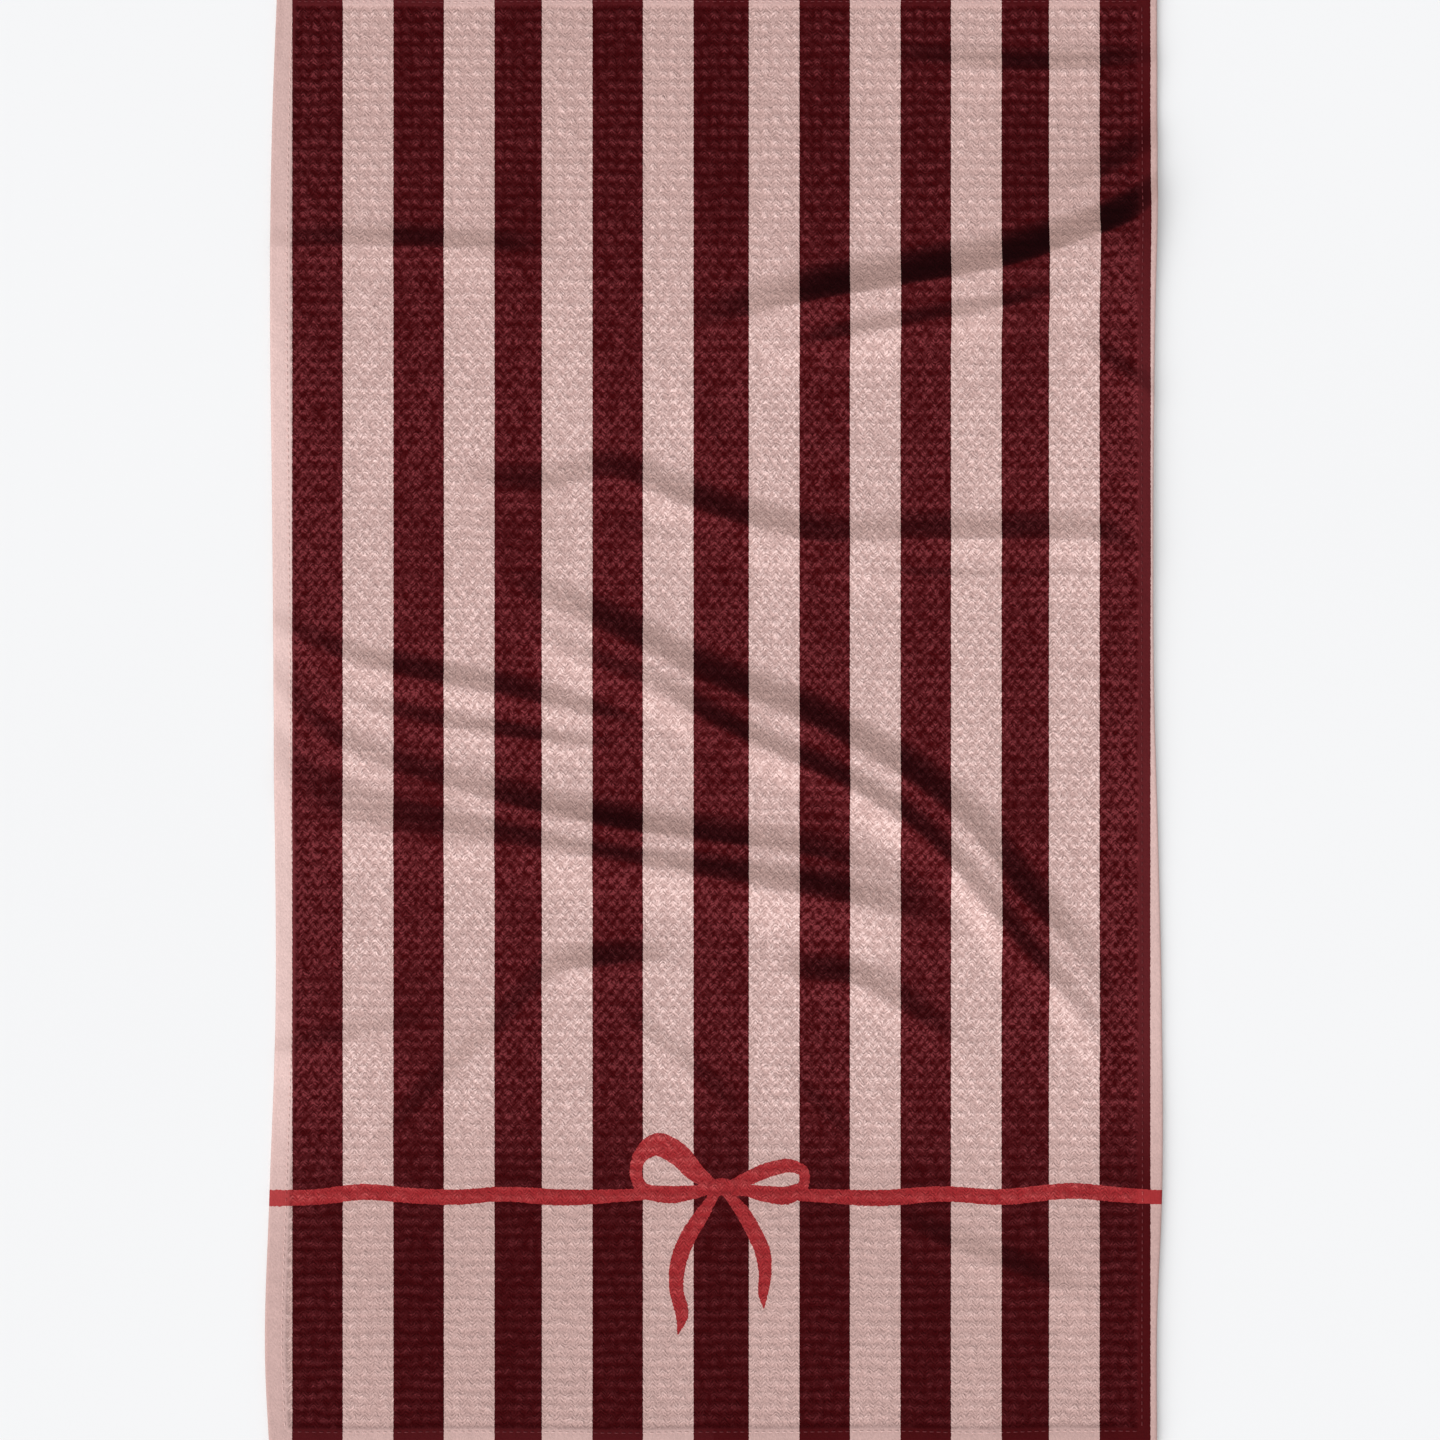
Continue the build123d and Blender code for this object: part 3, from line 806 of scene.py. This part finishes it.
def make_stitches(name, starts, ends, arch, sink):
    """Thread showing between needle holes: one arched round-ended run for each start and end point."""
    starts = np.asarray(starts, float)
    ends = np.asarray(ends, float)
    along = np.linspace(0, 1, STITCH_RINGS)
    bow = np.sin(np.pi * along) ** 0.6
    thickness = THREAD_RADIUS * np.sqrt(np.clip(1 - (2 * along - 1) ** 6, 0.05, 1))
    run = ends - starts
    direction = run / np.linalg.norm(run, axis=1, keepdims=True)
    sideways = np.cross(direction, (0, 0, 1))
    sideways /= np.linalg.norm(sideways, axis=1, keepdims=True)
    upwards = np.cross(sideways, direction)
    middle = starts[:, None] + run[:, None] * along[None, :, None]
    middle = middle + upwards[:, None] * (arch * bow - sink * (1 - bow))[None, :, None]
    turn = np.arange(STITCH_SIDES) * 2 * np.pi / STITCH_SIDES
    ring = (sideways[:, None, None] * np.cos(turn)[None, None, :, None]
            + upwards[:, None, None] * np.sin(turn)[None, None, :, None])
    vertices = (middle[:, :, None] + ring * thickness[None, :, None, None]).reshape(-1, 3)

    ids = np.arange(STITCH_RINGS * STITCH_SIDES).reshape(STITCH_RINGS, STITCH_SIDES)
    after = np.roll(ids, -1, axis=1)
    sides = np.stack([ids[:-1], ids[1:], after[1:], after[:-1]], -1).reshape(-1, 4)
    single = [list(face) for face in sides] + [list(ids[0]), list(ids[-1][::-1])]
    sizes = [len(face) for face in single] * len(starts)
    shifts = np.arange(len(starts)) * STITCH_RINGS * STITCH_SIDES
    corners = (np.concatenate([np.array(face) for face in single])[None] + shifts[:, None]).ravel()
    return new_object(name, vertices, sizes, corners)


def seam_holes(half, step):
    """Evenly spaced needle holes along a seam."""
    count = int(2 * half / step)
    return (np.arange(count + 1) - count / 2) * step


def seam_points(axis, at, holes, height):
    """Points of a seam on the flat cloth at a height that depends on the place."""
    fixed = np.full(holes.shape, float(at))
    u, v = (fixed, holes) if axis == "y" else (holes, fixed)
    x, y = place(u, v)
    return np.stack([x, y, height(u, v)], -1)


def needle_height(u, v):
    """Where the needle thread lies: on the bottom of the seam's furrow."""
    return top_height(u, v) + 0.06


def bobbin_height(u, v):
    """Where the bobbin thread lies: pressed into the underside."""
    x, y = place(u, v)
    return lift(x, y) + THREAD_RADIUS


def make_seam(word, axis, at, half, needle_thread, bobbin_thread):
    """The needle's and the bobbin's stitches of one hem."""
    holes = seam_holes(half - 0.6, STITCH_LENGTH)
    for kind, thread, height, arch, sink in (("needle", needle_thread, needle_height, 0.12, 0.5),
                                             ("bobbin", bobbin_thread, bobbin_height, 0.0, 0.0)):
        points = seam_points(axis, at, holes, height)
        gap = HOLE_SHARE * (points[1:] - points[:-1])
        seam = make_stitches(f"{kind}_stitches_{word}", points[:-1] + gap, points[1:] - gap, arch, sink)
        if kind == "needle":
            add_print_values(seam)
        finish_piece(seam, thread, "towel", "sewing_thread", f"{kind}_thread_{word}")


def make_bartacks(thread):
    """Two bars of dense zigzag stitches over the ends of the loop's tape."""
    low, high = box_mm("bartack_thread")
    half_bar = BARTACK_BAR / 2
    zigzag = np.where(np.arange(BARTACK_RUNGS) % 2 == 0, 1, -1)
    starts = []
    ends = []
    for middle in (low[1] + half_bar, high[1] - half_bar):
        u = np.linspace(low[0] + 0.3, high[0] - 0.3, BARTACK_RUNGS)
        v = middle + half_bar * zigzag
        x, y = place(u, v)
        points = np.stack([x, y, top_height(u, v) - 0.02], -1)
        starts.extend(points[:-1])
        ends.extend(points[1:])
    tacks = make_stitches("bartack_stitches", starts, ends, 0.10, 0.2)
    finish_piece(tacks, thread, "towel", "sewing_thread", "bartack_thread")


# ---------------------------------------------------------------- the hang loop

def tape_path():
    """Middle line of the folded tape in the YZ plane, from one tail's end to the other's."""
    low, high = box_mm("hang_loop")
    radius = high[2] / 2
    eye_y, eye_z = high[1] - radius, radius
    bend = radius - TAPE_THICK / 2
    hem_z = box_mm("hem_top")[1][2]
    neck = HALF_LENGTH + TAPE_THICK
    upper = np.array([[low[1], hem_z + TAPE_THICK / 2], [neck, hem_z + TAPE_THICK / 2]])
    lower = np.array([[neck, hem_z - TAPE_THICK / 2], [low[1], hem_z - TAPE_THICK / 2]])

    def touch(point, side):
        """Angle at which the straight run from the neck meets the bend round the bar."""
        dy, dz = point[0] - eye_y, point[1] - eye_z
        return math.atan2(dz, dy) + side * math.acos(bend / math.hypot(dy, dz))

    first = touch(upper[1], -1)
    last = touch(lower[0], 1) - 2 * math.pi
    turn = np.linspace(first, last, TAPE_BEND_POINTS)
    round_bar = np.stack([eye_y + bend * np.cos(turn), eye_z + bend * np.sin(turn)], -1)
    return np.concatenate([upper, round_bar, lower])


def make_tape(material):
    """The folded tape: ribbed webbing with rounded selvedges, as one closed band."""
    path = tape_path()
    run = np.concatenate([[0], np.cumsum(np.hypot(*np.diff(path, axis=0).T))])
    length = run[-1]
    along = np.linspace(0, length, int(length / TAPE_RING_STEP))
    y = np.interp(along, run, path[:, 0])
    z = np.interp(along, run, path[:, 1])
    tangent = np.stack([np.gradient(y, along), np.gradient(z, along)], -1)
    tangent /= np.linalg.norm(tangent, axis=1, keepdims=True)
    normal = np.stack([-tangent[:, 1], tangent[:, 0]], -1)

    half = box_mm("hang_loop")[1][0]
    across = half * np.sin(np.linspace(-np.pi / 2, np.pi / 2, TAPE_COLUMNS))
    selvedge = np.sqrt(np.clip(1 - (across / half) ** 8, 0.02, 1))
    wave = np.pi * np.cos(2 * np.pi * across[None] / RIB_WAVE)
    rib = 0.5 + 0.5 * np.cos(2 * np.pi * along[:, None] / RIB_PITCH + wave)
    half_thick = (TAPE_THICK / 2 - RIB_DEPTH * (1 - rib)) * selvedge[None]
    offset = np.concatenate([half_thick, -half_thick[:, ::-1]], 1)
    x = np.concatenate([across, across[::-1]])
    vertices = np.stack([np.broadcast_to(x, offset.shape),
                         y[:, None] + normal[:, :1] * offset,
                         z[:, None] + normal[:, 1:] * offset], -1)

    rings, sides = offset.shape
    ids = np.arange(rings * sides).reshape(rings, sides)
    after = np.roll(ids, -1, axis=1)
    quads = np.stack([ids[:-1], after[:-1], after[1:], ids[1:]], -1).reshape(-1, 4)
    sizes = [4] * len(quads) + [sides, sides]
    corners = np.concatenate([quads.ravel(), ids[0][::-1], ids[-1]])
    tape = new_object("loop_tape", vertices.reshape(-1, 3), sizes, corners)
    add_values(tape, "rib", np.concatenate([rib, rib[:, ::-1]], 1))
    worn = np.exp(-((along - length / 2) / WORN_REACH) ** 2)
    add_values(tape, "wear", np.repeat(worn, sides))
    finish_piece(tape, material, "towel", "loop_tape", "hang_loop")


# ---------------------------------------------------------------- stage

def make_floor():
    """A plain pale floor."""
    corners = [(-1, -1, 0), (1, -1, 0), (1, 1, 0), (-1, 1, 0)]
    floor = new_object("floor", np.array(corners) * FLOOR_HALF / MM, [4], [0, 1, 2, 3])
    n = Nodes("pale_floor")
    tone = n.ramp(n.noise(3, 2.0), 0.3, 0.7, 0.90, 0.91)
    n.set(Base_Color=n.grey(tone), Roughness=0.9, Specular_IOR_Level=0.1)
    floor.data.materials.append(n.material)


def make_camera():
    """Straight down on the towel, its two ends just outside the picture."""
    data = bpy.data.cameras.new("camera")
    data.lens = LENS
    data.sensor_width = SENSOR
    camera = bpy.data.objects.new("camera", data)
    height = VIEW_WIDTH * LENS / SENSOR + HEM_TOP
    camera.location = (VIEW_CENTRE[0] * MM, VIEW_CENTRE[1] * MM, height * MM)
    bpy.context.collection.objects.link(camera)
    bpy.context.scene.camera = camera


def make_lights():
    """A low soft key light from the lower left and a pale sky."""
    sun = bpy.data.lights.new("key", "SUN")
    sun.energy = KEY_ENERGY
    sun.angle = math.radians(KEY_SPREAD)
    key = bpy.data.objects.new("key", sun)
    key.rotation_euler = Vector(KEY_DIRECTION).to_track_quat("-Z", "Y").to_euler()
    bpy.context.collection.objects.link(key)

    world = bpy.data.worlds.new("studio")
    world.use_nodes = True
    sky = world.node_tree.nodes["Background"]
    sky.inputs["Color"].default_value = SKY_COLOUR
    sky.inputs["Strength"].default_value = SKY_STRENGTH
    bpy.context.scene.world = world


# ---------------------------------------------------------------- the clip

def finish_clip():
    """The clip's pieces stay the CAD's own, in satin aluminium and brighter steel."""
    satin = metal_material("satin_aluminium", ALUMINIUM, 0.30, 0.35)
    bright = metal_material("bright_steel", STEEL, 0.24, 0.25)
    for metal, pieces in ((satin, ("clip_body", "clip_gate")),
                          (bright, ("gate_rivet", "gate_spring", "gate_plunger"))):
        for piece in pieces:
            for material_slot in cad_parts[piece].material_slots:
                material_slot.link = "OBJECT"
                material_slot.material = metal


# ---------------------------------------------------------------- the towel

cloth = make_cloth()
finish_piece(cloth, cloth_material(), "towel", "printed_cloth",
             "towel_panel", "hem_left", "hem_right", "hem_top", "hem_bottom")

printed_thread = printed_thread_material()
white_thread = thread_material("white_thread", THREAD_WHITE)
for word, axis, at, half in (("left", "y", -SIDE_SEAM, END_SEAM), ("right", "y", SIDE_SEAM, END_SEAM),
                             ("bottom", "x", -END_SEAM, SIDE_SEAM), ("top", "x", END_SEAM, SIDE_SEAM)):
    make_seam(word, axis, at, half, printed_thread, white_thread)
make_bartacks(thread_material("burgundy_thread", TAPE_BURGUNDY))
make_tape(tape_material())

finish_clip()
make_floor()
make_camera()
make_lights()
bpy.context.scene.view_settings.view_transform = "Standard"
